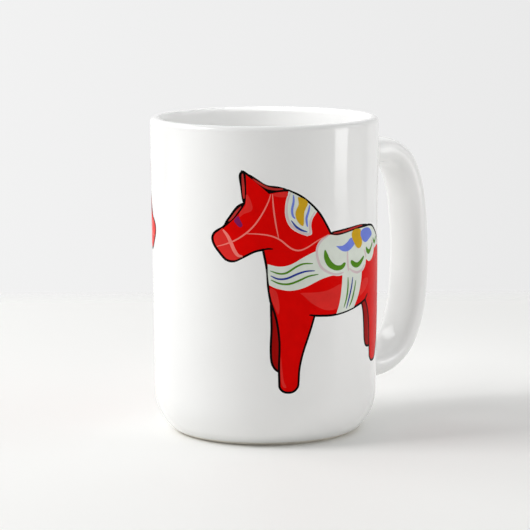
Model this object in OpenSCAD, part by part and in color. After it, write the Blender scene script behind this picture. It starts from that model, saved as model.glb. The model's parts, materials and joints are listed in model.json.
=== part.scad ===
// A tall ceramic mug with a painted wooden-horse picture fired onto each side.
// Millimetres. +Z is up, the foot stands on z = 0 and the cup's axis is the Z axis.
// The handle points along +X, one horse faces -Y and its mirror image faces +Y.

/* [Cup] */
// Height from the table to the top of the lip
cup_h = 119; // [110:1:130]
// Outer radius just under the lip
rim_r = 43; // [40:0.5:46]
// Outer radius that the straight wall would have at the table
base_r = 42; // [39:0.5:45]
// Radius of the straight cylinder inside the cup
bore_r = 39; // [35:0.5:39.5]
// Thickness of the floor, measured above the table
floor_z = 7; // [5:0.5:9]
// Radius of the rounded corner between wall and floor inside
inner_corner = 14; // [8:1:16]
// Radius of the rounded corner under the wall outside
outer_corner = 20; // [16:1:24]
// Thickness of the glass coat
glaze_t = 0.2; // [0.15:0.05:0.3]

/* [Foot] */
// Outer radius of the bare ring that the cup stands on
foot_r = 34; // [32:0.5:36]
// Width of the bare ring
foot_w = 3.5; // [2.5:0.5:5]
// Depth of the hollow inside the ring
foot_hollow = 2.5; // [1.5:0.5:3.5]

/* [Handle] */
// Thickness of the strap, seen from the side of the mug
strap_t = 9.9; // [8:0.1:11]
// Width of the strap across the mug
strap_w = 17.6; // [14:0.1:19]
// Height of the strap's middle line where it leaves the wall at the top
handle_top = 100.3; // [96:0.1:102]
// Rise of the strap as it leaves the wall, in degrees
handle_rise = 14; // [10:1:18]
// How much the strap spreads at each end, all round
joint_f = 2.6; // [1:0.1:3]
// Thickness of the slip that joins each end of the strap to the wall
slip_t = 0.5; // [0.3:0.1:0.8]

/* [Picture] */
// Thickness of one fired layer of colour
ink_t = 0.05; // [0.04:0.01:0.08]
// Width of the black outline
outline_w = 0.85; // [0.6:0.05:1]
// Width of the soft lines between the saddle's scallops
rose_w = 0.95; // [0.6:0.05:1.1]
// How far the pictures are moved up the wall
picture_lift = 0; // [-3:0.5:8]

/* [Hidden] */
$fn = 96;

print_r = (rim_r + base_r) / 2;
lip_r = (rim_r - bore_r) / 2;
lip_z = cup_h - lip_r;

// Heights between which the wall may carry a picture
PRINT_LOW = 16;
PRINT_HIGH = 112;
// Heights above the table where the clay's outside and the outer glaze begin
CLAY_START = 1;
GLAZE_START = 1.6;
// How far the hollow's roof stays inside the ring, and the glazed disc inside that roof
HOLLOW_STEP = 2.5;
DISC_GAP = 0.3;

// The strap's bends from top to bottom, each as [radius, turn in degrees], with straight runs at both ends
BENDS = [[40, 13], [14, 63.5], [43, 18], [133, 17], [43, 20.5], [19.5, 56], [26, 20]];
ROOT_X = 43.4;
ROOT_RUN = 4.4;
END_RUN = 2.6;
BEND_STEPS = 7;
FLARE_L = 9;
STRAP_SIDES = 44;
STRAP_SQUARENESS = 2.5;

// ---------- lines and loops ----------

// A point of a Catmull-Rom curve between b and c
function curve_point(a, b, c, d, t) =
    (2 * b + (c - a) * t + (2 * a - 5 * b + 4 * c - d) * t * t + (3 * b - a - 3 * c + d) * t * t * t) / 2;
// A smooth open line through p, with n steps between points
function line(p, n = 3) = let (k = len(p) - 1) concat(
    [for (i = [0 : k - 1], j = [0 : n - 1])
        curve_point(i == 0 ? 2 * p[0] - p[1] : p[i - 1], p[i], p[i + 1],
                    i == k - 1 ? 2 * p[k] - p[k - 1] : p[i + 2], j / n)],
    [p[k]]);
// A smooth closed loop through p
function ring(p, n = 3) = let (k = len(p))
    [for (i = [0 : k - 1], j = [0 : n - 1])
        curve_point(p[(i + k - 1) % k], p[i], p[(i + 1) % k], p[(i + 2) % k], j / n)];
// Lines joined end to end into one closed loop, with a corner at each joint
function joined(lines) = [for (l = lines, i = [0 : len(l) - 2]) l[i]];
// The left-hand unit normal of a step from a to b
function normal(a, b) = let (d = b - a) [-d[1], d[0]] / max(norm(d), 0.0001);
// The mitred normal between two steps, held back at sharp corners
function mitre(m, n) = (m + n) / max(0.45, 1 + m * n);
// A closed loop moved to its left by d
function moved(p, d) = let (k = len(p))
    [for (i = [0 : k - 1])
        p[i] + d * mitre(normal(p[(i + k - 1) % k], p[i]), normal(p[i], p[(i + 1) % k]))];
// A brush line through p that is w wide, with its ends drawn out as thin as thin * w
function brush(p, w, thin = 0.35, n = 3) = let (q = line(p, n), k = len(q) - 1,
    side = [for (i = [0 : k])
        let (s = thin + (1 - thin) * pow(sin(180 * i / k), 0.6),
             before = normal(q[max(i - 1, 0)], q[max(i, 1)]),
             after = normal(q[min(i, k - 1)], q[min(i + 1, k)]))
        w / 2 * s * mitre(before, after)])
    concat([for (i = [0 : k]) q[i] + side[i]], [for (i = [k : -1 : 0]) q[i] - side[i]]);

// ---------- the horse, drawn on the unrolled wall as [along the wall, height] ----------

POLL = [-28.5, 95.2];
WITHERS = [-4.7, 79.3];
LOIN = [17.5, 80.2];
EAR_TIP = [-37.3, 102.5];
BROW = [-37.5, 91.3];
NOSTRIL = [-45.6, 82.3];
THROAT = [-30.8, 74.4];
ELBOW = [-11.4, 49.4];
STIFLE = [15.2, 52.5];

ear_back = line([EAR_TIP, [-33, 99.2], POLL]);
poll_line = line([POLL, [-25.5, 95.7], [-21.7, 95.9]]);
crest = line([[-21.7, 95.9], [-17, 93.7], [-13, 90.6], [-9.5, 87], [-6.6, 82.6], WITHERS]);
back = line([WITHERS, [-2, 78.8], [1, 78.9], [8.5, 79.9], LOIN]);
rump = line([LOIN, [21, 79.5], [25, 77], [28.5, 74.3], [31.6, 70.5], [35, 65], [37, 59], [37, 52],
             [35.5, 45], [33, 39.5], [30, 34.5], [27.6, 30.8]]);
hind_hoof = line([[27.6, 30.8], [26, 29], [23.5, 28.3], [21, 28.7], [19.4, 30.5]]);
hind_front = line([[19.4, 30.5], [19.1, 36], [18.8, 42], [17.6, 48], STIFLE]);
belly = line([STIFLE, [11, 51.3], [4, 49.8], [-3.5, 48.9], ELBOW]);
fore_back = line([ELBOW, [-13.3, 43.6], [-16.1, 35.7], [-17.4, 30], [-17.7, 25.5]]);
fore_hoof = line([[-17.7, 25.5], [-18, 23.4], [-19.5, 21.8], [-21.4, 21.4], [-23.4, 21.8], [-24.8, 23.3],
                  [-25, 25.5]]);
fore_front = line([[-25, 25.5], [-25.1, 32], [-24.9, 40], [-26, 48.5], [-28.2, 55.5]]);
chest = line([[-28.2, 55.5], [-29, 61], [-29.4, 67], THROAT]);
jaw = line([THROAT, [-34, 73.6], [-38, 71.6], [-41.5, 70], [-44.5, 70.5], [-47.3, 73.4], [-49.1, 75.8],
            [-49.8, 78.1], [-49.1, 80], [-47.5, 81.2], NOSTRIL]);
nose = line([NOSTRIL, [-43.2, 84.3], [-41, 86.4], [-38.8, 89.2], BROW]);
ear_front = line([BROW, [-37.1, 95], [-37.2, 99.5], EAR_TIP]);

// The side of the horse that is seen, all round
near_side = joined([ear_back, poll_line, crest, back, rump, hind_hoof, hind_front, belly,
                    fore_back, fore_hoof, fore_front, chest, jaw, nose, ear_front]);
// The slivers of the far side that show behind it
far_ear = joined([line([[-38.2, 102.8], [-39, 101.2], [-38.5, 97.5], [-38, 93.5], BROW]),
                  line([BROW, [-37.1, 95], [-37.2, 99.5], [-37.4, 102.5]]),
                  line([[-37.4, 102.5], [-38.2, 102.8]])]);
far_crest = joined([line([[-36.4, 102], [-33, 99.8], [-29.5, 97.6], [-25.5, 97], [-21.7, 96]]),
                    line([[-21.7, 96], [-25.5, 95.7], POLL]),
                    line([POLL, [-33, 99.2], [-36.4, 102]])]);
far_back = joined([line([WITHERS, [-1.5, 79.7], [5, 80.3], [11, 80.7], LOIN]),
                   line([LOIN, [8.5, 79.9], [1, 78.9], WITHERS])]);
far_brow = joined([line([BROW, [-39, 90.6], [-40.4, 89.5], [-42.6, 86.5], [-44.8, 83.5]]),
                   line([[-44.8, 83.5], [-43.2, 84.3], [-41, 86.4], BROW])]);
far_fore = joined([line([[-28, 56], [-27.9, 50], [-27.8, 45], [-28.1, 38], [-27.8, 33], [-26.5, 30.3],
                         [-24.5, 29]]),
                   line([[-24.5, 29], [-22, 40], [-23, 50], [-28, 56]])]);
far_hind = joined([line([[12.2, 52.2], [13.6, 48.5], [14.4, 42.5], [14.8, 37.5], [16.2, 35],
                         [19, 34.6], [20.5, 36]]),
                   line([[20.5, 36], [20, 46], [17, 53], [12.2, 52.2]])]);

mane_patch = joined([line([[-21.5, 95.6], [-22.7, 91], [-22.7, 86.3], [-21, 82.5], [-18, 80.3],
                           [-14.5, 78.9]]),
                     line([[-14.5, 78.9], [-12.6, 79.6], [-12.9, 82.5], [-12.4, 85], [-10.6, 87.6]]),
                     line([[-10.6, 87.6], [-13.2, 90.3], [-17.1, 93.3], [-21.5, 95.6]])]);
chest_band = joined([line([[-29.2, 69.1], [-25, 68.1], [-20.5, 68.8], [-15, 71.6], [-9, 73.5], [-5, 71]]),
                     line([[-5, 71], [1.5, 67], [1, 63.2]]),
                     line([[1, 63.2], [-4, 63.6], [-9.5, 62.4], [-15.5, 60], [-21, 59.1], [-26, 60.1],
                           [-28.7, 61.4]]),
                     line([[-28.7, 61.4], [-29.1, 65], [-29.2, 69.1]])]);
girth = joined([line([[1, 64.5], [0.8, 60.5], [0.2, 56], [-0.6, 52.5], [-1.9, 49.2]]),
                line([[-1.9, 49.2], [3, 49.8], [7.4, 50.6]]),
                line([[7.4, 50.6], [10.3, 55], [12, 60], [12.6, 64.5]]),
                line([[12.6, 64.5], [7, 66], [1, 64.5]])]);
saddle = joined([line([[-4.9, 78.8], [-8.6, 77.5], [-10.7, 75], [-11, 71.5], [-9.6, 67.3], [-6.5, 64.8],
                       [-2, 63.3], [1.8, 63.6], [4, 65.4]]),
                 line([[4, 65.4], [6.3, 63.6], [9.5, 62.8], [12.8, 63.4], [15, 65.3], [15.7, 67.6]]),
                 line([[15.7, 67.6], [18.2, 66.4], [20.8, 66.9], [22.8, 68.6], [23.8, 70.6]]),
                 line([[23.8, 70.6], [26, 70.9], [28.4, 71.6], [30.6, 70.7]]),
                 line([[30.6, 70.7], [28.2, 73.9], [24.8, 76.7], [21, 79.1], [17.5, 79.8]]),
                 line([[17.5, 79.8], [8.5, 79.5], [1, 78.5], [-2, 78.3], [-4.9, 78.8]])]);

mane_gold = ring([[-18, 93.4], [-17.8, 90.8], [-19, 88], [-18.8, 85.6], [-17.4, 83.4], [-16, 82.8],
                  [-15.8, 85.5], [-15.6, 88], [-14.3, 91.4]]);
flower_heart = ring([[8.2, 79.7], [6, 78.8], [6, 76.6], [7.4, 74.4], [8.9, 72.7], [10.8, 72.3],
                     [12.3, 73.5], [12.3, 75.4], [11.3, 77], [11.3, 79.2]]);
left_petal = joined([line([[-2.3, 74.4], [0.8, 74.2], [3.2, 75.2], [5, 76.6], [6.6, 76.6]]),
                     line([[6.6, 76.6], [8, 75], [6.2, 73.1], [3.4, 71.9], [0.5, 72.4], [-2.3, 74.4]])]);
right_petal = ring([[11, 77.5], [12.8, 79.1], [15.8, 79.4], [18.8, 78.6], [20.9, 76.3], [18.4, 75],
                    [15.8, 74], [13.2, 74.6]]);
// The green crescents, each as a loop with blunt ends
CRESCENTS = [
    ring([[-7.6, 72.5], [-7.5, 70], [-5.9, 67.2], [-2.9, 65.5], [0, 65.3], [1.9, 66.2], [2.6, 67.6],
          [1.6, 67.9], [0, 67.1], [-2.5, 67.5], [-4.8, 69.5], [-6.5, 72.6], [-7.2, 73.4]]),
    ring([[5.3, 68], [5.5, 67], [6.8, 65.8], [8.9, 65.2], [11, 65.7], [12.6, 66.9], [14, 68.5],
          [13.5, 69.1], [12.6, 68.6], [11.2, 67.8], [9.3, 67.1], [7.4, 67.7], [6, 68.4]]),
    ring([[15.4, 71.6], [16, 70.1], [17.5, 69.2], [19, 69.5], [20.6, 71], [21.7, 72.6], [21.2, 73.1],
          [19.8, 71.7], [18.2, 70.9], [16.8, 71.5], [15.9, 72.2]]),
    ring([[22.2, 74.4], [22.9, 73], [24.2, 72.2], [25.4, 72.6], [26.6, 74.4], [26.1, 75], [25.1, 74],
          [24.1, 73.6], [23.1, 74.3], [22.6, 74.9]])];
eye = ring([[-40, 86.6], [-39.2, 85.2], [-38.3, 83.2], [-39.4, 82.5], [-40.7, 83.8], [-41.4, 84.9]]);

// Paler reds where the light strikes the carving
belly_light = ring([[-17, 58.1], [-12, 58], [-6, 58.3], [1, 60.2], [0.4, 56], [-0.8, 51.9],
                    [-4, 50.8], [-8, 51.5], [-12.5, 54], [-15.8, 57]]);
flank_light = ring([[17.1, 60.4], [13.5, 60.2], [11.7, 57.5], [10.8, 54.4], [13.4, 55.2], [16, 56.9],
                    [17.6, 58.8]]);
chest_light = ring([[-28.5, 60.2], [-26.2, 59.2], [-25.3, 56.5], [-24.9, 53], [-25.4, 50.4],
                    [-26.5, 52.8], [-27.8, 56]]);
cheek_light = ring([[-36.9, 94.3], [-35.9, 93.8], [-34.6, 90.2], [-35.2, 88.4], [-37.8, 87.4],
                    [-39.4, 86.2], [-39.1, 88.2], [-37.1, 90.6]]);
leg_light = ring([[-24.5, 35], [-23.9, 30], [-23.4, 26], [-22.4, 23.4], [-23.7, 23.6], [-24.6, 27]]);
poll_light = ring([[-28, 94.5], [-25, 95.2], [-22.2, 95.4], [-22, 93.6], [-25, 93.5]]);
rump_light = ring([[33, 64], [35.5, 60], [36, 52], [34.5, 45.5], [32, 39.5], [29.5, 35], [31, 44],
                   [33, 54]]);
muzzle_light = joined([line([[-45.9, 82], [-44.3, 79.6], [-43, 77.4], [-42, 74.6], [-41, 72.3],
                             [-39.4, 71.2]]),
                       line([[-39.4, 71.2], [-41.5, 70.4], [-44.3, 70.9], [-47, 73.7], [-48.7, 76],
                             [-49.3, 78.1], [-48.6, 79.7], [-45.9, 82]])]);
ROSE_LINES = [
    [[-5.4, 78.7], [-8.4, 77.1], [-10.3, 74.8], [-10.5, 71.5], [-9.1, 67.6], [-6.1, 65.2], [-2, 63.9],
     [1.6, 64.3]],
    [[3.5, 72.4], [3.6, 69], [3.9, 66.2], [4.3, 64.4]],
    [[4.6, 65.4], [6.6, 64.2], [9.4, 63.4], [12.4, 64], [14.3, 65.8]],
    [[13.9, 71.4], [15.2, 69.6], [15.6, 68.1]],
    [[20.2, 74.4], [21.9, 72.5], [23.4, 71]]];
MANE_EDGE = [[-20.9, 95.1], [-22.1, 91], [-22.1, 86.5], [-20.5, 83], [-17.8, 80.9], [-14.6, 79.5],
             [-13.3, 80.2], [-13.5, 82.5], [-13, 85.2], [-11.4, 87.7]];

// Strokes, each as [line, width]
PINK_STROKES = [
    [[[-27.4, 94.6], [-27.1, 90], [-26.3, 84], [-25.2, 78.4]], 0.6],
    [[[-28.1, 94.6], [-28.9, 91.9], [-31.4, 87], [-35, 82.2], [-39.9, 78.4], [-44.5, 76.3],
      [-48.3, 75.2]], 0.6],
    [[[-37.2, 80.2], [-32.5, 80.1], [-28, 79.4], [-24.5, 77.8], [-21, 74.9], [-18, 73.8], [-14.7, 74.6],
      [-10.5, 76.9], [-5.6, 79]], 0.6],
    [[[-45.8, 81.4], [-44, 79.2], [-42.6, 76.4], [-41.4, 73.8], [-40, 72.1], [-38.4, 71.9]], 1.3]];
GREEN_STROKES = [
    [[[-28.3, 66.6], [-25, 65.5], [-22.2, 65.8], [-19, 67.7], [-16, 68.8], [-12.2, 68.7]], 0.75],
    [[[-28.1, 63.3], [-25, 61.9], [-21.5, 61.6], [-18, 62.6], [-14, 64.1], [-10, 64.6]], 0.75],
    [[[3.9, 62.2], [3.9, 58.4], [3.2, 54.6], [1.8, 51.1]], 0.75],
    [[[8.5, 60.6], [7.6, 57.1], [6.3, 53.7], [4.7, 51.2]], 0.75]];
NAVY_STROKES = [
    [[[-28.2, 64.8], [-25.5, 63.6], [-22.2, 63.7], [-18.5, 65.1], [-15, 66], [-11.4, 66]], 0.75],
    [[[6.6, 62], [5.9, 58.4], [4.7, 54.8], [3.1, 50.6]], 0.75],
    [[[-20.6, 84.9], [-18.9, 82.7], [-16.9, 81.3], [-14.4, 80.4]], 0.75]];
BLUE_STROKES = [
    [[[-19.8, 94.2], [-19.7, 91.8], [-20.3, 88.8], [-20, 86.6], [-19.1, 85.5]], 0.9],
    [[[-13.5, 90.3], [-14, 88], [-14.8, 85.6], [-14.7, 83.8], [-14.4, 82.3]], 0.9]];
FAR_STROKES = [
    [[[-38.1, 102], [-38, 99.8], [-37.8, 97], [-37.7, 94.6], [-37.6, 93]], 0.9],
    [[[-3.4, 79.2], [-1, 79.25], [2, 79.5], [6, 80.05], [10, 80.5], [12.5, 80.6]], 0.7],
    [[[-38.7, 90.1], [-40.3, 88.3], [-42, 86], [-43.4, 84.6]], 0.8],
    [[[-34.5, 100.2], [-31.5, 98.2], [-29, 96.9], [-26.4, 96.4], [-23.5, 96.4]], 0.9]];
BLACK_STROKES = [
    [[[-31, 74.3], [-29.3, 74.7], [-27.2, 74.6]], 0.7],
    [[[-13.6, 49.8], [-12.4, 49.6], [-11, 49.3]], 0.7],
    [[[14.6, 52.3], [16, 53.3], [17.2, 54.5]], 0.7]];

// ---------- putting the picture on the wall ----------

function wall_r(z) = base_r + (rim_r - base_r) * z / lip_z;
// A point of the unrolled wall as it is seen square on, ready to be pushed onto the wall
function seen(p) = [wall_r(p[1] + picture_lift) * sin(p[0] / print_r * 180 / PI), p[1] + picture_lift];
module area(p) { polygon([for (q = p) seen(q)]); }
module strokes(list, n = 3) { for (s = list) area(brush(s[0], s[1], n = n)); }

// A thin sleeve of the tapered wall, counted in layers of ink from the glaze outwards
module sleeve(layer) {
    rotate_extrude()
        polygon([for (p = [[PRINT_LOW, 0], [PRINT_LOW, 1], [PRINT_HIGH, 1], [PRINT_HIGH, 0]])
            [wall_r(p[0]) + (layer + p[1]) * ink_t, p[0]]]);
}
// One layer of a colour on one side: the flat picture pushed onto the front of the wall
module printed(layer) {
    intersection() {
        sleeve(layer);
        rotate([90, 0, 0]) translate([0, 0, rim_r / 4]) linear_extrude(rim_r) children();
    }
}
// The same colour on both sides of the mug
module both_sides(layer) {
    printed(layer) children();
    mirror([0, 1, 0]) printed(layer) children();
}

// ---------- cup ----------

function backwards(p) = [for (i = [len(p) - 1 : -1 : 0]) p[i]];
// An arc of points from angle a to angle b
function arc(centre, r, a, b, n = 24) =
    [for (i = [0 : n]) centre + r * [cos(a + (b - a) * i / n), sin(a + (b - a) * i / n)]];

// The rounded corner under the wall, with its centre set so that the arc runs into the tapered wall
taper = atan((rim_r - base_r) / lip_z);
corner_z = outer_corner * 0.8;
corner_c = [wall_r(corner_z - outer_corner * sin(taper)) - outer_corner * cos(taper), corner_z];
// The outside of the cup from the foot up to the wall, with a skin of s taken off
function outside(s) = arc(corner_c, outer_corner - s, -asin(corner_z / (outer_corner - s)), -taper);
// The outer radius at height z, with the rounded corner below the wall
function skin_r(z) = z > corner_c[1] - outer_corner * sin(taper) ? wall_r(z)
    : corner_c[0] + sqrt(pow(outer_corner, 2) - pow(corner_z - z, 2));
// The rounded lip, from outside to inside
function lip(s) = arc([bore_r + lip_r, lip_z], lip_r - s, -taper, 180, 32);
// The inside from the lip down to the floor, with a skin of s taken off
function inside(s) = concat([[bore_r + s, lip_z]],
    arc([bore_r - inner_corner, floor_z + inner_corner], inner_corner + s, 0, -90),
    [[0, floor_z - s]]);

// The hollow under the cup
function hollow(s) = [[0, foot_hollow + s], [foot_r - foot_w - HOLLOW_STEP, foot_hollow + s],
                      [foot_r - foot_w, 0]];

module cup_body() {
    color("gainsboro") rotate_extrude()
        polygon(concat([[foot_r, 0]], [for (p = outside(glaze_t)) if (p[1] > CLAY_START) p],
                       lip(glaze_t), inside(glaze_t), hollow(glaze_t)));
}
module cup_glaze() {
    color("white") rotate_extrude() {
        polygon(concat([for (p = outside(0)) if (p[1] > GLAZE_START) p], lip(0), inside(0),
                       backwards(inside(glaze_t)), backwards(lip(glaze_t)),
                       [for (p = backwards(outside(glaze_t))) if (p[1] > GLAZE_START) p]));
        translate([0, foot_hollow]) square([foot_r - foot_w - HOLLOW_STEP - DISC_GAP, glaze_t]);
    }
}

// ---------- handle ----------

function along(a) = [cos(a), sin(a)];
// The heading before bend i, and the places where bend i starts and where its centre is
function heading(i) = i == 0 ? handle_rise : heading(i - 1) - BENDS[i - 1][1];
function bend_start(i) = i == 0 ? [ROOT_X, handle_top] + ROOT_RUN * along(handle_rise)
    : bend_centre(i - 1) + BENDS[i - 1][0] * along(heading(i) + 90);
function bend_centre(i) = bend_start(i) + BENDS[i][0] * along(heading(i) - 90);

// Stations down the strap's middle line, each as [x, z, heading]
LAST = len(BENDS);
stations = concat(
    [for (i = [0 : 4]) let (p = [ROOT_X, handle_top] + ROOT_RUN * i / 5 * along(handle_rise))
        [p[0], p[1], handle_rise]],
    [for (i = [0 : LAST - 1], j = [0 : BEND_STEPS - 1])
        let (a = heading(i) - BENDS[i][1] * j / BEND_STEPS,
             p = bend_centre(i) + BENDS[i][0] * along(a + 90))
        [p[0], p[1], a]],
    [for (i = [0 : 5]) let (p = bend_start(LAST) + END_RUN * i / 5 * along(heading(LAST)))
        [p[0], p[1], heading(LAST)]]);

// The strap's section at angle a: a flat superellipse, grown by e all round
function power(c) = sign(c) * pow(abs(c), 2 / STRAP_SQUARENESS);
function section(a, e) = [(strap_t / 2 + e) * power(cos(a)), (strap_w / 2 + e) * power(sin(a))];
// How much wider the strap is at a distance d from the wall
function flare(d) = joint_f * pow(max(0, 1 - d / FLARE_L), 2);
// How far point q of an end section must slide along the strap to lie on the wall
function slide(st, q) = let (z = st[1] + q[0] * cos(st[2]), r = skin_r(z) + slip_t)
    (sqrt(r * r - q[1] * q[1]) - st[0] + q[0] * sin(st[2])) / cos(st[2]);
function strap_point(i, a) = let (
    st = stations[i], n = len(stations) - 1,
    end = i < n / 2 ? stations[0] : stations[n],
    d = norm([st[0] - end[0], st[1] - end[1]]),
    q = section(a, flare(d)),
    t = slide(end, section(a, flare(0))) * pow(max(0, 1 - d / FLARE_L), 2))
    [st[0] - q[0] * sin(st[2]) + t * cos(st[2]), q[1], st[1] + q[0] * cos(st[2]) + t * sin(st[2])];

module handle() {
    n = len(stations);
    k = STRAP_SIDES;
    color("white") polyhedron(
        points = [for (i = [0 : n - 1], j = [0 : k - 1]) strap_point(i, 360 * j / k)],
        faces = concat(
            [[for (j = [0 : k - 1]) j]],
            [for (i = [0 : n - 2], j = [0 : k - 1]) let (a = i * k + j, b = i * k + (j + 1) % k)
                each [[a, a + k, b + k], [a, b + k, b]]],
            [[for (j = [k - 1 : -1 : 0]) (n - 1) * k + j]]));
}

// A thin pad of slip on the outside of the cup under one end of the strap, centred at height z
module slip_pad(z, angle) {
    color("gainsboro") intersection() {
        rotate_extrude()
            polygon(concat(outside(0), [[rim_r, lip_z], [rim_r + slip_t, lip_z]],
                           backwards(outside(-slip_t))));
        translate([0, 0, z]) rotate([90, 0, 90]) translate([0, 0, rim_r / 2]) linear_extrude(rim_r)
            polygon([for (a = [0 : 10 : 350]) let (q = section(a, joint_f)) [q[1], q[0] / cos(angle)]]);
    }
}
module slip_joint_top() {
    slip_pad(handle_top + (rim_r - ROOT_X) * tan(handle_rise), handle_rise);
}
module slip_joint_bottom() {
    slip_pad(stations[len(stations) - 1][1], 180 - heading(LAST));
}

// ---------- colours, from the wall outwards ----------

module ink_black() {
    color("black") both_sides(0) {
        for (p = [near_side, far_crest, far_back]) area(moved(p, outline_w / 2));
        for (p = [far_ear, far_brow, far_fore, far_hind]) area(moved(p, -outline_w / 2));
    }
    // The short creases inside the outline are printed over the red
    color("black") both_sides(2) strokes(BLACK_STROKES);
}
module ink_red() {
    color("#c40a05") both_sides(1) area(moved(near_side, -outline_w / 2));
}
module ink_dark_red() {
    color("#8f120f") both_sides(1) {
        for (leg = [far_fore, far_hind]) difference() {
            area(moved(leg, outline_w / 2));
            area(moved(near_side, outline_w / 2));
        }
    }
}
module ink_shade_red() {
    color("#a83832") both_sides(1) strokes(FAR_STROKES);
}
module ink_light_red() {
    color("#d53c3c") both_sides(2) {
        area(cheek_light);
        area(leg_light);
        area(poll_light);
        area(rump_light);
        area(muzzle_light);
        difference() {
            for (light = [chest_light, belly_light, flank_light]) area(light);
            area(chest_band);
            area(girth);
        }
    }
}
module ink_off_white() {
    color("#d8dcd2") both_sides(2) {
        area(mane_patch);
        area(chest_band);
        area(girth);
        area(saddle);
    }
}
module ink_rose_grey() {
    color("#d7c8c8") both_sides(3) {
        for (p = concat(ROSE_LINES, [MANE_EDGE])) area(brush(p, rose_w));
    }
}
module ink_pink() {
    color("#fa8278") both_sides(3) strokes(PINK_STROKES);
}
module ink_purple() {
    color("#731e82") both_sides(2) area(eye);
}
module ink_green() {
    color("#558c23") both_sides(4) {
        strokes(GREEN_STROKES);
        for (c = CRESCENTS) area(c);
    }
}
module ink_navy() {
    color("#283c96") both_sides(4) strokes(NAVY_STROKES);
}
module ink_periwinkle() {
    color("#6e7dd7") both_sides(4) {
        strokes(BLUE_STROKES);
        area(left_petal);
        area(right_petal);
    }
}
module ink_ochre() {
    color("#cda528") both_sides(5) {
        area(mane_gold);
        area(flower_heart);
    }
}

cup_body();
cup_glaze();
handle();
slip_joint_top();
slip_joint_bottom();
ink_black();
ink_red();
ink_dark_red();
ink_shade_red();
ink_light_red();
ink_off_white();
ink_rose_grey();
ink_pink();
ink_purple();
ink_green();
ink_navy();
ink_periwinkle();
ink_ochre();
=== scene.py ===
# %% [markdown]
# # A tall mug with a red horse on each side
#
# The mug is slip-cast clay under a white glass coat. Its handle is a strap of clay, stuck on with slip,
# and each colour of the two horses is a thin layer fired onto the glaze. The CAD model gives every size
# and place. This notebook gives the mug its looks: finer surfaces, glaze, bare clay, ink, light and camera.
# Everything is in metres, +Z is up, the handle points along +X, and one horse faces -Y.

# %% Open the CAD model
import json
import math
import bmesh
import bpy
import numpy as np
from mathutils import Matrix, Vector


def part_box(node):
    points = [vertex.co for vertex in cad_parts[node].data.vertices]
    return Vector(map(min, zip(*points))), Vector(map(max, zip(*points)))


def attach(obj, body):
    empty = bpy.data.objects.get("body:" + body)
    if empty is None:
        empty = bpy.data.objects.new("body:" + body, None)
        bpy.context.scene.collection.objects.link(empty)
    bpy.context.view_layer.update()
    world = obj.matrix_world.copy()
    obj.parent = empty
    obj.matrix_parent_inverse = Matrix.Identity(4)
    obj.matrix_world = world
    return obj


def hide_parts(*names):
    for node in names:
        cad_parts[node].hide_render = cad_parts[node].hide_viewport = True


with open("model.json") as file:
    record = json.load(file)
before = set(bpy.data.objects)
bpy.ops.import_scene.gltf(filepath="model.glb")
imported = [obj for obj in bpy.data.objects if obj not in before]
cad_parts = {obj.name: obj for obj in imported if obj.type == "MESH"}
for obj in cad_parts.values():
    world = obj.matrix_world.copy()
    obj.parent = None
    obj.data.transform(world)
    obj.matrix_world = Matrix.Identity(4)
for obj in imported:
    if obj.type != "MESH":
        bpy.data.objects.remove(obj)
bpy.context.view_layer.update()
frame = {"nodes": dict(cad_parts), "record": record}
MM = 0.001

# %% [markdown]
# ## The sizes everything else follows
#
# The glaze is the outermost skin of the cup, so its box gives the height and the radius under the lip. The
# mouth's radius comes from the record, where it is a mount. The wall leans in by a millimetre on its way
# down, and every ink lies on it, so one short function gives the wall's radius at any height.

# %% Sizes from the frame
glaze_low, glaze_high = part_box("cup_glaze")
mounts = {mount["name"]: mount for mount in frame["record"]["mounts"]}
cup_h = glaze_high.z
rim_r = glaze_high.y
bore_r = mounts["mouth"]["dims"]["r_mm"] * MM
lip_r = (rim_r - bore_r) / 2
lip_z = cup_h - lip_r
base_r = 42 * MM
print_r = (rim_r + base_r) / 2
wall_slope = (rim_r - base_r) / lip_z
floor_z = 7 * MM
inner_corner = 14 * MM
outer_corner = 20 * MM
glaze_t = 0.2 * MM
foot_r = 34 * MM
foot_w = 3.5 * MM
foot_hollow = 2.5 * MM


def wall_r(z):
    return base_r + wall_slope * z


print(f"cup {cup_h / MM:.1f} mm high, {2 * rim_r / MM:.1f} mm across, mouth {2 * bore_r / MM:.1f} mm")

# %% [markdown]
# ## Writing shader maths as plain expressions
#
# A node tree is easy to read on screen and hard to read in code. Field wraps one socket, so that
# `1 - mask * 0.2` adds its Math nodes by itself. Finish holds one material: node() adds any node with its
# settings and inputs, and set() fills a socket of the surface shader with a number, a colour or a Field.

# %% Field and Finish
class Field:
    def __init__(self, finish, socket):
        self.finish = finish
        self.socket = socket

    def math(self, operation, first, second):
        made = self.finish.node("ShaderNodeMath", {"operation": operation}, {0: first, 1: second})
        return Field(self.finish, made.outputs[0])

    def __add__(self, other):
        return self.math("ADD", self, other)

    __radd__ = __add__

    def __mul__(self, other):
        return self.math("MULTIPLY", self, other)

    __rmul__ = __mul__

    def __sub__(self, other):
        return self.math("SUBTRACT", self, other)

    def __rsub__(self, other):
        return self.math("SUBTRACT", other, self)


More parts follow.
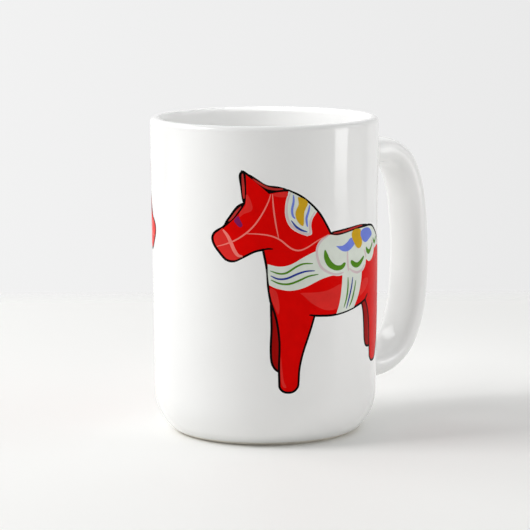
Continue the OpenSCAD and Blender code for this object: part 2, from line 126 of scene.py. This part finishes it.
class Finish:
    def __init__(self, name):
        self.material = bpy.data.materials.new(name)
        self.material.use_nodes = True
        self.tree = self.material.node_tree
        self.surface = self.tree.nodes["Principled BSDF"]
        self.place = self.field("ShaderNodeTexCoord", output="Object")

    def node(self, kind, settings=None, inputs=None):
        made = self.tree.nodes.new(kind)
        for name, value in (settings or {}).items():
            setattr(made, name, value)
        for key, value in (inputs or {}).items():
            self.fill(made.inputs[key], value)
        return made

    def field(self, kind, settings=None, inputs=None, output=0):
        return Field(self, self.node(kind, settings, inputs).outputs[output])

    def fill(self, socket, value):
        if isinstance(value, Field):
            self.tree.links.new(value.socket, socket)
        else:
            socket.default_value = value

    def set(self, **values):
        for name, value in values.items():
            self.fill(self.surface.inputs[name.replace("_", " ")], value)

    def noise(self, size, detail=2.0, rough=0.5):
        """Cloudy variation from 0 to 1 whose blobs are about size metres across."""
        return self.field("ShaderNodeTexNoise", {"noise_dimensions": "3D"},
                          {"Vector": self.place, "Scale": 1 / size, "Detail": detail, "Roughness": rough})

    def ramp(self, value, low, high):
        """value moved from the range low..high to 0..1, and kept inside it."""
        return self.field("ShaderNodeMapRange", {"clamp": True},
                          {"Value": value, "From Min": low, "From Max": high})

    def blend(self, mask, low, high):
        """The colour low where mask is 0 and high where it is 1."""
        made = self.node("ShaderNodeMix", {"data_type": "RGBA", "clamp_factor": True},
                         {0: mask, 6: low, 7: high})
        return Field(self, made.outputs[2])

    def bump(self, height, depth):
        """A normal that makes height, from 0 to 1, look depth metres deep."""
        return self.field("ShaderNodeBump", None, {"Height": height, "Distance": depth, "Strength": 1.0})

    def along(self, axis):
        """One coordinate of the piece: 0 is X, 1 is Y and 2 is Z."""
        return self.field("ShaderNodeSeparateXYZ", None, {"Vector": self.place}, axis)


def colour(red, green, blue):
    """A colour given as it looks on screen, from 0 to 255, turned into the linear values a shader takes."""
    linear = [c / 255 / 12.92 if c <= 10.3 else ((c / 255 + 0.055) / 1.055) ** 2.4
              for c in (red, green, blue)]
    return (*linear, 1.0)


print("shader helpers ready")

# %% [markdown]
# ## White glaze
#
# Glaze is a millimetre-thin glass. It is very white and shiny, but never quite even: it carries slow waves
# from the kiln, so its reflections bend a little. In a band just above the foot it turns greyer and a little
# rougher. Two noises and the height are enough, because anything stronger would look like pottery.

# %% White glaze
def white_glaze():
    finish = Finish("white_glaze")
    waves = finish.noise(0.022, 1.0)
    grain = finish.noise(0.0016, 2.0)
    tone = finish.noise(0.035, 2.0)
    # A band from the foot up to 4.5 mm where the colour is made greyer and the roughness higher
    foot_band = finish.ramp(finish.along(2), 0.0045, 0.0018)
    fresh = finish.blend(tone, colour(245, 245, 244), colour(248, 248, 247))
    finish.set(Base_Color=finish.blend(foot_band * 0.6, fresh, colour(228, 229, 227)),
               Roughness=0.075 + grain * 0.03 + foot_band * 0.05,
               Normal=finish.bump(waves + grain * 0.01, 0.00025))
    finish.surface.inputs["IOR"].default_value = 1.5
    return finish.material


glaze = white_glaze()
print("made", glaze.name)

# %% [markdown]
# ## Bare clay
#
# The ring under the foot is wiped clean of glaze, or the mug would stick to the kiln shelf. Fired clay is
# matt, warm white and finely gritty, and it picks up grey rubs from tables. A fine noise makes the grit and
# a coarse one, cut to islands, makes the rubs.

# %% Bare clay
def bare_clay():
    finish = Finish("bare_clay")
    grit = finish.noise(0.0004, 4.0, 0.7)
    rubs = finish.ramp(finish.noise(0.006, 3.0), 0.5, 0.72)
    fired = finish.blend(grit, colour(226, 220, 208), colour(238, 234, 225))
    finish.set(Base_Color=finish.blend(rubs * 0.45, fired, colour(176, 170, 162)),
               Roughness=0.9 - rubs * 0.12,
               Normal=finish.bump(grit, 0.00015))
    return finish.material


clay = bare_clay()
print("made", clay.name)

# %% [markdown]
# ## Fired inks
#
# Each colour is printed by itself and fired at a low heat, so it keeps its own soft gloss, a little duller
# than the glaze. A printed layer is never one flat tone: it is slightly cloudy, with a fine tooth. The same
# short function makes all thirteen inks, and what differs is the colour and how much it clouds.

# %% Inks
INKS = {
    "ink_black": ((10, 5, 5), 0.10),
    "ink_red": ((223, 3, 1), 0.04),
    "ink_dark_red": ((160, 10, 8), 0.08),
    "ink_shade_red": ((186, 50, 46), 0.10),
    "ink_light_red": ((226, 46, 42), 0.06),
    "ink_off_white": ((222, 228, 218), 0.04),
    "ink_rose_grey": ((214, 196, 198), 0.04),
    "ink_pink": ((250, 128, 118), 0.06),
    "ink_purple": ((125, 30, 90), 0.12),
    "ink_green": ((84, 138, 34), 0.08),
    "ink_navy": ((40, 60, 150), 0.10),
    "ink_periwinkle": ((116, 134, 222), 0.06),
    "ink_ochre": ((210, 166, 36), 0.06),
}


def ink(name, tone, cloud):
    finish = Finish(name)
    clouds = finish.noise(0.004, 3.0)
    tooth = finish.noise(0.0003, 2.0)
    darker = colour(*[c * (1 - cloud) for c in tone])
    lighter = colour(*[min(255, c * (1 + cloud) + 2) for c in tone])
    finish.set(Base_Color=finish.blend(clouds, darker, lighter),
               Roughness=0.2 + tooth * 0.1,
               Normal=finish.bump(tooth, 0.00002))
    finish.surface.inputs["Specular IOR Level"].default_value = 0.02
    return finish.material


inks = {name: ink(name, *values) for name, values in INKS.items()}
print("made", len(inks), "inks")

# %% [markdown]
# ## Turning a profile on a wheel
#
# The cup and its glaze are bodies of revolution. A Geometry Nodes tree does what the potter's wheel does: it
# lays out a grid with one row for each point of the profile and one column for each step of the turn, then
# moves every grid point to its place on the circle. Merge by Distance closes the seam and the poles. The
# tree has named inputs for the number of steps and the material, so that every round piece shares it.

# %% The wheel
def new_tree(name, inputs):
    tree = bpy.data.node_groups.new(name, "GeometryNodeTree")
    tree.interface.new_socket("Geometry", in_out="INPUT", socket_type="NodeSocketGeometry")
    for label, kind in inputs.items():
        tree.interface.new_socket(label, in_out="INPUT", socket_type=kind)
    tree.interface.new_socket("Geometry", in_out="OUTPUT", socket_type="NodeSocketGeometry")
    source = tree.nodes.new("NodeGroupInput")
    sink = tree.nodes.new("NodeGroupOutput")
    return tree, source, sink


def add(tree, kind, settings=None, inputs=None):
    """A node with its settings first, then its inputs, each a value or the output of another node."""
    made = tree.nodes.new(kind)
    for name, value in (settings or {}).items():
        setattr(made, name, value)
    for key, value in (inputs or {}).items():
        if isinstance(value, bpy.types.NodeSocket):
            tree.links.new(value, made.inputs[key])
        else:
            made.inputs[key].default_value = value
    return made


def maths(tree, operation, first, second=0.0):
    return add(tree, "ShaderNodeMath", {"operation": operation}, {0: first, 1: second}).outputs[0]


def finish_tree(tree, geometry, material, sink):
    real = add(tree, "GeometryNodeRealizeInstances", None, {"Geometry": geometry})
    painted = add(tree, "GeometryNodeSetMaterial", None, {"Geometry": real.outputs[0], "Material": material})
    tree.links.new(painted.outputs[0], sink.inputs[0])


TINY = 2e-7


def wheel_tree():
    tree, source, sink = new_tree("wheel", {"Steps": "NodeSocketInt", "Material": "NodeSocketMaterial"})
    size = add(tree, "GeometryNodeAttributeDomainSize", {"component": "MESH"},
               {"Geometry": source.outputs[0]})
    columns = maths(tree, "ADD", source.outputs["Steps"], 1)
    grid = add(tree, "GeometryNodeMeshGrid", None,
               {"Vertices X": size.outputs["Point Count"], "Vertices Y": columns})
    index = add(tree, "GeometryNodeInputIndex").outputs[0]
    row = maths(tree, "FLOOR", maths(tree, "DIVIDE", maths(tree, "ADD", index, 0.5), columns))
    column = maths(tree, "SUBTRACT", index, maths(tree, "MULTIPLY", row, columns))
    angle = maths(tree, "MULTIPLY", maths(tree, "DIVIDE", column, source.outputs["Steps"]), 2 * math.pi)
    place = add(tree, "GeometryNodeInputPosition").outputs[0]
    picked = add(tree, "GeometryNodeSampleIndex", {"data_type": "FLOAT_VECTOR", "domain": "POINT"},
                 {"Geometry": source.outputs[0], "Value": place, "Index": row})
    parts = add(tree, "ShaderNodeSeparateXYZ", None, {0: picked.outputs[0]})
    swung = add(tree, "ShaderNodeCombineXYZ", None,
                {0: maths(tree, "MULTIPLY", parts.outputs[0], maths(tree, "COSINE", angle)),
                 1: maths(tree, "MULTIPLY", parts.outputs[0], maths(tree, "SINE", angle)),
                 2: parts.outputs[2]})
    moved = add(tree, "GeometryNodeSetPosition", None,
                {"Geometry": grid.outputs[0], "Position": swung.outputs[0]})
    closed = add(tree, "GeometryNodeMergeByDistance", None, {"Geometry": moved.outputs[0], "Distance": TINY})
    smooth = add(tree, "GeometryNodeSetShadeSmooth", None, {"Geometry": closed.outputs[0]})
    finish_tree(tree, smooth.outputs[0], source.outputs["Material"], sink)
    return tree


WHEEL = wheel_tree()


def run_tree(name, mesh, tree, values):
    """mesh passed through a tree with the named inputs filled, and made a plain mesh object."""
    piece = bpy.data.objects.new(name, mesh)
    bpy.context.scene.collection.objects.link(piece)
    modifier = piece.modifiers.new(tree.name, "NODES")
    modifier.node_group = tree
    for item in tree.interface.items_tree:
        if item.in_out == "INPUT" and item.name in values:
            modifier[item.identifier] = values[item.name]
    bpy.context.view_layer.update()
    result = bpy.data.meshes.new_from_object(piece.evaluated_get(bpy.context.evaluated_depsgraph_get()))
    piece.modifiers.remove(modifier)
    piece.data = result
    return piece


def face_outwards(piece, sharp):
    """Turns the faces outwards and smooths them, except at edges that bend by more than sharp radians."""
    work = bmesh.new()
    work.from_mesh(piece.data)
    bmesh.ops.recalc_face_normals(work, faces=work.faces)
    for face in work.faces:
        face.smooth = True
    for edge in work.edges:
        edge.smooth = edge.calc_face_angle(0) < sharp
    work.to_mesh(piece.data)
    loose = sum(1 for edge in work.edges if not edge.is_manifold)
    work.free()
    print(piece.name, len(piece.data.polygons), "faces,", loose, "open edges")
    return piece


def ride(piece, slot, *nodes):
    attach(piece, "root")
    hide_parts(*nodes)
    return piece


WHEEL_STEPS = 256
SHARP_CORNER = 0.7


def turned(name, profile, material):
    """A round piece from (radius, height) points. The profile ends on the axis or closes on itself."""
    mesh = bpy.data.meshes.new(name)
    mesh.from_pydata([(r, 0, z) for r, z in profile], [], [])
    piece = run_tree(name, mesh, WHEEL, {"Steps": WHEEL_STEPS, "Material": material})
    return face_outwards(piece, SHARP_CORNER)


print("wheel ready with", len(WHEEL.nodes), "nodes")

# %% [markdown]
# ## The clay cup and its coat of glass
#
# Both skins come from one profile, drawn with a thickness taken off: the outside with its rounded corner, the
# lip, the inside, and the hollow under the foot. The glaze is wiped off the foot ring, and where it ends it
# draws itself into a small round bead, which the profile gets as a half circle.

# %% Cup and glaze
CORNER_STEPS = 44
ROUND_STEPS = 36
LONGEST_RUN = 4.5 * MM
RUN = 3 * MM


def arc(cx, cz, r, start, end, steps):
    """Points of a circle's arc, with its angles in degrees."""
    angles = [math.radians(start + (end - start) * i / steps) for i in range(steps + 1)]
    return [(cx + r * math.cos(a), cz + r * math.sin(a)) for a in angles]


def straight(a, b, steps):
    return [(a[0] + (b[0] - a[0]) * i / steps, a[1] + (b[1] - a[1]) * i / steps) for i in range(steps + 1)]


lean = math.degrees(math.atan(wall_slope))
corner_z = outer_corner * 0.8
touch_z = corner_z - outer_corner * math.sin(math.radians(lean))
corner_x = wall_r(touch_z) - outer_corner * math.cos(math.radians(lean))


def skin_r(z):
    """The glaze's outer radius, with the rounded corner below the wall."""
    if z > touch_z:
        return wall_r(z)
    return corner_x + math.sqrt(outer_corner ** 2 - (corner_z - z) ** 2)


def outside(skin):
    reach = math.degrees(math.asin(corner_z / (outer_corner - skin)))
    return arc(corner_x, corner_z, outer_corner - skin, -reach, -lean, CORNER_STEPS)


def lip(skin):
    return arc(bore_r + lip_r, lip_z, lip_r - skin, -lean, 180, ROUND_STEPS)


def inside(skin):
    corner = arc(bore_r - inner_corner, floor_z + inner_corner, inner_corner + skin, 0, -90, ROUND_STEPS)
    return [(bore_r + skin, lip_z)] + corner


def joined(*runs):
    """Runs of points one after another, with repeated points dropped and long gaps filled."""
    points = []
    for point in [point for run in runs for point in run]:
        gap = math.dist(points[-1], point) if points else RUN
        if gap < TINY / 2:
            continue
        if gap > LONGEST_RUN:
            points += straight(points[-1], point, round(gap / RUN))[1:-1]
        points.append(point)
    return points


clay_start = 0.9 * MM
bead_z = 1.6 * MM
clay_foot = [p for p in outside(glaze_t) if p[1] > clay_start]
ring_in = foot_r - foot_w
foot_ring = [(ring_in + 0.7 * MM, 0), (foot_r - 0.5 * MM, 0), (foot_r - 0.1 * MM, 0.35 * MM)]
clay_profile = joined([(0, foot_hollow + glaze_t), (ring_in - 2.2 * MM, foot_hollow + glaze_t)],
                      arc(ring_in - 0.2 * MM, foot_hollow * 0.45, 1.1 * MM, 120, 190, 6), foot_ring,
                      clay_foot, lip(glaze_t), inside(glaze_t), [(0, floor_z - glaze_t)])
ride(turned("cup", clay_profile, clay), "bare_clay", "cup_body")

glaze_out = [p for p in outside(0) if p[1] > bead_z]
glaze_in = [p for p in outside(glaze_t) if p[1] > bead_z]
bead_x = (glaze_out[0][0] + glaze_in[0][0]) / 2
bead = arc(bead_x, glaze_out[0][1], glaze_t * 0.62, -160, 10, 8)
under_glaze = [(0, floor_z - glaze_t)] + inside(glaze_t)[::-1]
glaze_profile = joined(under_glaze, lip(glaze_t)[::-1], glaze_in[::-1], bead, glaze_out, lip(0), inside(0),
                       [(0, floor_z)])
ride(turned("glaze_coat", glaze_profile, glaze), "white_glaze", "cup_glaze")

# %% [markdown]
# The disc inside the foot ring is glazed as well. It is a shallow dish of glass with a rounded edge, which
# stops short of the bare ring.

# %% Glaze under the foot
disc_r = ring_in - 2.3 * MM
disc_profile = joined([(0, foot_hollow + glaze_t)], [(disc_r, foot_hollow + glaze_t)],
                      arc(disc_r, foot_hollow + glaze_t * 0.5, glaze_t * 0.5, 90, -90, 8)[1:],
                      [(disc_r - 1.5 * MM, foot_hollow), (0, foot_hollow)])
ride(turned("glaze_under_foot", disc_profile, glaze), "white_glaze")

# %% [markdown]
# ## The strap handle
#
# The handle's middle line is a run of arcs, as in the CAD model, and its section is a flat superellipse. Both
# follow a rule, so the surface is worked out point by point as a loft. The ends spread a little and slide
# along the strap until they lie on the wall, which makes the joint look pulled and not glued.

# %% Middle line and section
BENDS = [(40, 13), (14, 63.5), (43, 18), (133, 17), (43, 20.5), (19.5, 56), (26, 20)]
strap_t = 9.9 * MM
strap_w = 17.6 * MM
handle_top = 100.3 * MM
handle_rise = 14.0
root_x = 43.4 * MM
root_run = 4.4 * MM
end_run = 2.6 * MM
squareness = 2.5
spread = 2.6 * MM
spread_run = 9 * MM
slip_t = 0.5 * MM


def middle_line(step=0.6 * MM):
    """Stations down the strap, each as (x, z, heading in radians)."""
    x, z, heading = root_x, handle_top, math.radians(handle_rise)
    stations = []
    runs = [(root_run, None)] + [(r * MM, math.radians(turn)) for r, turn in BENDS] + [(end_run, None)]
    for size, turn in runs:
        length = size if turn is None else size * turn
        count = max(2, round(length / step))
        cx, cz = x + size * math.sin(heading), z - size * math.cos(heading)
        for i in range(count):
            if turn is None:
                run = length * i / count
                stations.append((x + run * math.cos(heading), z + run * math.sin(heading), heading))
            else:
                a = heading - turn * i / count
                stations.append((cx - size * math.sin(a), cz + size * math.cos(a), a))
        if turn is None:
            x, z = x + length * math.cos(heading), z + length * math.sin(heading)
        else:
            heading -= turn
            x, z = cx - size * math.sin(heading), cz + size * math.cos(heading)
    return stations + [(x, z, heading)]


def power(c):
    return math.copysign(abs(c) ** (2 / squareness), c)


def section(angle, extra):
    return (strap_t / 2 + extra) * power(math.cos(angle)), (strap_w / 2 + extra) * power(math.sin(angle))


def slide(station, q, skin):
    """How far a point of an end section moves along the strap to lie skin above the wall."""
    x, z, heading = station
    height = z + q[0] * math.cos(heading)
    reach = math.sqrt((skin_r(height) + skin) ** 2 - q[1] ** 2)
    return (reach - x + q[0] * math.sin(heading)) / math.cos(heading)


def strap_point(station, end, angle):
    x, z, heading = station
    gone = math.hypot(x - end[0], z - end[1])
    fade = max(0.0, 1 - gone / spread_run) ** 2
    q = section(angle, spread * fade)
    move = slide(end, section(angle, spread), slip_t) * fade
    return (x - q[0] * math.sin(heading) + move * math.cos(heading), q[1],
            z + q[0] * math.cos(heading) + move * math.sin(heading))


stations = middle_line()
print(len(stations), "stations, last one at x =", round(stations[-1][0] / MM, 2))

# %% [markdown]
# The loft joins the rings with quads, and a small fan closes each end. The superellipse gathers its points at
# the corners by itself when they are taken at even angles of the circle under it.

# %% Handle
SHARP_END = 0.9


def loft(name, rings, material, closed=False):
    """Rings of points skinned into a closed tube, or into a ring when closed is True."""
    count, sides = len(rings), len(rings[0])
    verts = [p for ring in rings for p in ring]
    faces = []
    for i in range(count if closed else count - 1):
        for j in range(sides):
            a, b = i * sides, ((i + 1) % count) * sides
            k = (j + 1) % sides
            faces.append((a + j, b + j, b + k, a + k))
    if not closed:
        for start in (0, (count - 1) * sides):
            centre = np.mean(verts[start:start + sides], axis=0)
            verts.append(tuple(centre))
            faces += [(len(verts) - 1, start + j, start + (j + 1) % sides) for j in range(sides)]
    mesh = bpy.data.meshes.new(name)
    mesh.from_pydata(verts, [], faces)
    mesh.materials.append(material)
    piece = bpy.data.objects.new(name, mesh)
    bpy.context.scene.collection.objects.link(piece)
    return face_outwards(piece, SHARP_END)


SIDES = 96
half = len(stations) // 2
ends = [stations[0] if i < half else stations[-1] for i in range(len(stations))]
angles = [2 * math.pi * j / SIDES for j in range(SIDES)]
rings = [[strap_point(s, e, a) for a in angles] for s, e in zip(stations, ends)]
ride(loft("handle_strap", rings, glaze), "white_glaze", "handle")

# %% [markdown]
# ## Slip fillets
#
# Before firing, the potter's finger smooths slip into the corner between strap and wall, and the glaze fills
# what is left. Each fillet is a ring with a hollow side: it starts thin on the wall and runs up the strap.
# Its section is walked round the strap's root, so it bends with both surfaces.

# %% Fillets
FILLET = 2.2 * MM
FILLET_STEPS = 12
CLEAR = 0.02 * MM
INTO_STRAP = 0.6 * MM
INTO_WALL = 0.5 * MM
quarter = [math.radians(90 * i / FILLET_STEPS) for i in range(FILLET_STEPS + 1)]
# The fillet's section as (off the strap, out from the wall): the hollow side, then the buried sides
fillet_section = [(FILLET * (1 - math.sin(t)), FILLET * (1 - math.cos(t)) + CLEAR) for t in quarter]
fillet_section += [(-INTO_STRAP, FILLET), (-INTO_STRAP, -INTO_WALL), (FILLET, -INTO_WALL / 2)]


def fillet(name, end, away, node):
    """A fillet round one end. away is 1 where the stations leave the wall and -1 where they reach it."""
    x, z, heading = end
    walked = []
    for a in angles:
        points = []
        for off, out in fillet_section:
            fade = max(0.0, 1 - max(0.0, out) / spread_run) ** 2
            q = section(a, spread * fade + off)
            run = away * out + slide(end, q, 0.0)
            points.append((x - q[0] * math.sin(heading) + run * math.cos(heading), q[1],
                           z + q[0] * math.cos(heading) + run * math.sin(heading)))
        walked.append(points)
    ride(loft(name, walked, glaze, closed=True), "white_glaze", node)


fillet("slip_fillet_top", stations[0], 1, "slip_joint_top")
fillet("slip_fillet_bottom", stations[-1], -1, "slip_joint_bottom")

# %% [markdown]
# ## Wrapping the pictures round the wall
#
# The CAD inks are exact but coarsely faceted. Each one is unrolled flat, keeping its front face only, and cut
# into strips one millimetre wide. A Geometry Nodes tree then gives the flat sheet its thickness, rolls it
# onto the true wall, and adds its mirror image on the other side. Its named inputs are the wall's sizes.

# %% The wrapping tree
def wrap_tree():
    tree, source, sink = new_tree("wrap", {"Base radius": "NodeSocketFloat", "Slope": "NodeSocketFloat",
                                           "Print radius": "NodeSocketFloat", "Thickness": "NodeSocketFloat",
                                           "Material": "NodeSocketMaterial"})
    sheet = source.outputs[0]
    down = add(tree, "ShaderNodeCombineXYZ", None,
               {2: maths(tree, "MULTIPLY", source.outputs["Thickness"], -1)})
    under = add(tree, "GeometryNodeExtrudeMesh", {"mode": "FACES"},
                {"Mesh": sheet, "Offset": down.outputs[0], "Offset Scale": 1.0, "Individual": False})
    solid = add(tree, "GeometryNodeJoinGeometry")
    tree.links.new(under.outputs[0], solid.inputs[0])
    tree.links.new(sheet, solid.inputs[0])
    closed = add(tree, "GeometryNodeMergeByDistance", None, {"Geometry": solid.outputs[0], "Distance": 1e-7})
    place = add(tree, "ShaderNodeSeparateXYZ", None, {0: add(tree, "GeometryNodeInputPosition").outputs[0]})
    wall = maths(tree, "ADD", source.outputs["Base radius"],
                 maths(tree, "MULTIPLY", place.outputs[1], source.outputs["Slope"]))
    radius = maths(tree, "ADD", wall, place.outputs[2])
    angle = maths(tree, "DIVIDE", place.outputs[0], source.outputs["Print radius"])
    forward = maths(tree, "MULTIPLY", radius, maths(tree, "COSINE", angle))
    rolled = add(tree, "ShaderNodeCombineXYZ", None,
                 {0: maths(tree, "MULTIPLY", radius, maths(tree, "SINE", angle)),
                  1: maths(tree, "MULTIPLY", forward, -1),
                  2: place.outputs[1]})
    front = add(tree, "GeometryNodeSetPosition", None,
                {"Geometry": closed.outputs[0], "Position": rolled.outputs[0]})
    mirrored = add(tree, "GeometryNodeTransform", None, {"Geometry": front.outputs[0], "Scale": (1, -1, 1)})
    both = add(tree, "GeometryNodeJoinGeometry")
    tree.links.new(mirrored.outputs[0], both.inputs[0])
    tree.links.new(front.outputs[0], both.inputs[0])
    finish_tree(tree, both.outputs[0], source.outputs["Material"], sink)
    return tree


WRAP = wrap_tree()
print("wrap ready with", len(WRAP.nodes), "nodes")

# %% [markdown]
# Unrolling reads each corner's angle and height. What the CAD model has as depth above the wall becomes the
# sheet's height. The real layers are far thinner than the CAD ones, so that height is scaled down.

# %% Inks on the wall
LAYER = 0.05 * MM
FLATTEN = 0.3
STRIP = 1.0 * MM
MERGE = 2e-6
FACING = 0.7
SHARP_LAYER = 0.5


def unrolled(node):
    """The front face of a CAD ink as a flat sheet: along the wall, up the wall, and height above it."""
    work = bmesh.new()
    work.from_mesh(frame["nodes"][node].data)
    bmesh.ops.remove_doubles(work, verts=work.verts, dist=MERGE)
    inner = []
    for face in work.faces:
        centre = face.calc_center_median()
        outward = Vector((centre.x, centre.y, 0)).normalized()
        if centre.y > 0 or face.normal.dot(outward) < FACING:
            inner.append(face)
    bmesh.ops.delete(work, geom=inner, context="FACES")
    for vert in work.verts:
        x, y, z = vert.co
        vert.co = (math.atan2(x, -y) * print_r, z, (math.hypot(x, y) - wall_r(z)) * FLATTEN)
    low = min(v.co.x for v in work.verts)
    high = max(v.co.x for v in work.verts)
    for i in range(math.ceil(low / STRIP), math.floor(high / STRIP) + 1):
        bmesh.ops.bisect_plane(work, geom=work.verts[:] + work.edges[:] + work.faces[:], dist=1e-7,
                               plane_co=(i * STRIP, 0, 0), plane_no=(1, 0, 0))
    bmesh.ops.recalc_face_normals(work, faces=work.faces)
    mesh = bpy.data.meshes.new(node)
    work.to_mesh(mesh)
    work.free()
    return mesh


wrap_values = {"Base radius": base_r, "Slope": wall_slope, "Print radius": print_r,
               "Thickness": LAYER * FLATTEN}
for name, material in inks.items():
    layer = run_tree("print_" + name[4:], unrolled(name), WRAP, {**wrap_values, "Material": material})
    ride(face_outwards(layer, SHARP_LAYER), name, name)

# %% [markdown]
# ## Floor, light and camera
#
# A wide pale floor runs back to a backdrop that glows by itself. The floor thins out along its far edge, so
# that the two meet in a soft line and the mug stands in an even, bright room.

# %% Floor and backdrop
CAMERA_SIDE = math.radians(-130.5)
FLOOR_BACK = 0.325
FLOOR_FADE = 0.035
towards_camera = Vector((math.cos(CAMERA_SIDE), math.sin(CAMERA_SIDE), 0))
camera_right = Vector((-towards_camera.y, towards_camera.x, 0))


def flat(name, corners, material):
    mesh = bpy.data.meshes.new(name)
    mesh.from_pydata([tuple(c) for c in corners], [], [(0, 1, 2, 3)])
    mesh.materials.append(material)
    piece = bpy.data.objects.new(name, mesh)
    bpy.context.scene.collection.objects.link(piece)


def spot(right, back, up):
    """A point given as the camera sees it: to its right, away from it, and up."""
    return camera_right * right - towards_camera * back + Vector((0, 0, up))


def pale_floor():
    """A satin white that fades out along the far edge, so that the floor ends softly against the backdrop."""
    finish = Finish("pale_floor")
    away = finish.field("ShaderNodeVectorMath", {"operation": "DOT_PRODUCT"},
                        {0: finish.place, 1: tuple(-towards_camera)}, "Value")
    cloud = finish.noise(0.5, 1.0)
    finish.set(Base_Color=finish.blend(cloud, colour(247, 247, 245), colour(249, 249, 247)),
               Alpha=finish.ramp(away, FLOOR_BACK, FLOOR_BACK - FLOOR_FADE))
    finish.surface.inputs["Roughness"].default_value = 0.5
    finish.surface.inputs["Specular IOR Level"].default_value = 0.15
    return finish.material


def glowing_wall():
    """A backdrop that glows by itself, a little brighter on the camera's left."""
    finish = Finish("backdrop")
    side = finish.field("ShaderNodeVectorMath", {"operation": "DOT_PRODUCT"},
                        {0: finish.place, 1: tuple(camera_right)}, "Value")
    across = finish.ramp(side, -0.35, 0.35)
    finish.set(Emission_Color=finish.blend(across, colour(242, 242, 242), colour(234, 234, 234)))
    finish.surface.inputs["Base Color"].default_value = (0, 0, 0, 1)
    finish.surface.inputs["Specular IOR Level"].default_value = 0
    finish.surface.inputs["Emission Strength"].default_value = 1.0
    return finish.material


flat("floor", [spot(-3, -2.5, 0), spot(3, -2.5, 0), spot(3, FLOOR_BACK, 0), spot(-3, FLOOR_BACK, 0)],
     pale_floor())
flat("backdrop", [spot(-3, 2.2, -0.6), spot(3, 2.2, -0.6), spot(3, 2.2, 2.6), spot(-3, 2.2, 2.6)],
     glowing_wall())
print("floor ends", FLOOR_BACK, "m behind the mug")

# %% [markdown]
# Two softboxes on the left model the cup from white to grey, and a broad weak one on the right fills the far
# side. An upright strip stands close on the right, because a glazed wall shows a strip as one long glint. A
# small gridded lamp over the mouth lights the inside, which the big ones cannot reach.

# %% Lights
def softbox(name, place, target, width, height, power, grid=180):
    data = bpy.data.lights.new(name, "AREA")
    data.shape = "RECTANGLE"
    data.size = width
    data.size_y = height
    data.energy = power
    data.spread = math.radians(grid)
    lamp = bpy.data.objects.new(name, data)
    lamp.location = place
    lamp.rotation_euler = (Vector(target) - Vector(place)).to_track_quat("-Z", "Y").to_euler()
    lamp.visible_camera = False
    bpy.context.scene.collection.objects.link(lamp)


middle = Vector((0, 0, cup_h / 2))
softbox("key_left", spot(-1.08, -0.18, 0.92), middle, 0.6, 0.6, 10.8)
softbox("key_behind", spot(-1.0, 0.45, 0.92), middle, 0.6, 0.6, 3.4)
softbox("fill_right", spot(1.3, 0.1, 0.7), middle, 1.0, 1.0, 3.0)
strip = spot(0.64, -0.105, 0)
for low, high, power in [(0, 0.03, 0.036), (0.03, 0.07, 0.1), (0.07, 0.26, 0.38)]:
    height = Vector((0, 0, (low + high) / 2))
    softbox(f"strip_from_{low * 1000:.0f}", strip + height, height, 0.19, high - low, power)
mouth = spot(0.01, 0.03, cup_h - 0.006)
softbox("over_mouth", spot(-0.02, -0.05, cup_h + 0.12), mouth, 0.04, 0.04, 0.006, 40)

ROOM_GREY = 0.39
world = bpy.data.worlds.new("studio")
world.use_nodes = True
world.node_tree.nodes["Background"].inputs[0].default_value = (ROOM_GREY, ROOM_GREY, ROOM_GREY, 1)
bpy.context.scene.world = world
bpy.context.scene.view_settings.view_transform = "Standard"
print("lamps:", sorted(lamp.name for lamp in bpy.data.lights))

# %% [markdown]
# The camera stands a little above the mug and looks straight at its axis with a long lens, so the sides stay
# almost upright. Its matrix is built from the direction it looks in, with a slight roll.

# %% Camera
DISTANCE = 0.9458
HEIGHT = 0.2054
PITCH = math.radians(8.6)
ROLL = math.radians(-0.225)

level = -towards_camera
forward = (level * math.cos(PITCH) - Vector((0, 0, math.sin(PITCH)))).normalized()
right = Vector((level.y, -level.x, 0)).normalized()
upward = right.cross(forward)
rolled_right = math.cos(ROLL) * right + math.sin(ROLL) * upward
rolled_up = math.cos(ROLL) * upward - math.sin(ROLL) * right
place = towards_camera * DISTANCE + Vector((0, 0, HEIGHT))
lens = bpy.data.cameras.new("camera")
lens.sensor_width = 36
lens.lens = 171.4
camera = bpy.data.objects.new("camera", lens)
axes = Matrix((rolled_right, rolled_up, -forward)).transposed()
camera.matrix_world = Matrix.Translation(place) @ axes.to_4x4()
bpy.context.scene.collection.objects.link(camera)
bpy.context.scene.camera = camera
print("camera at", [round(v, 3) for v in place])
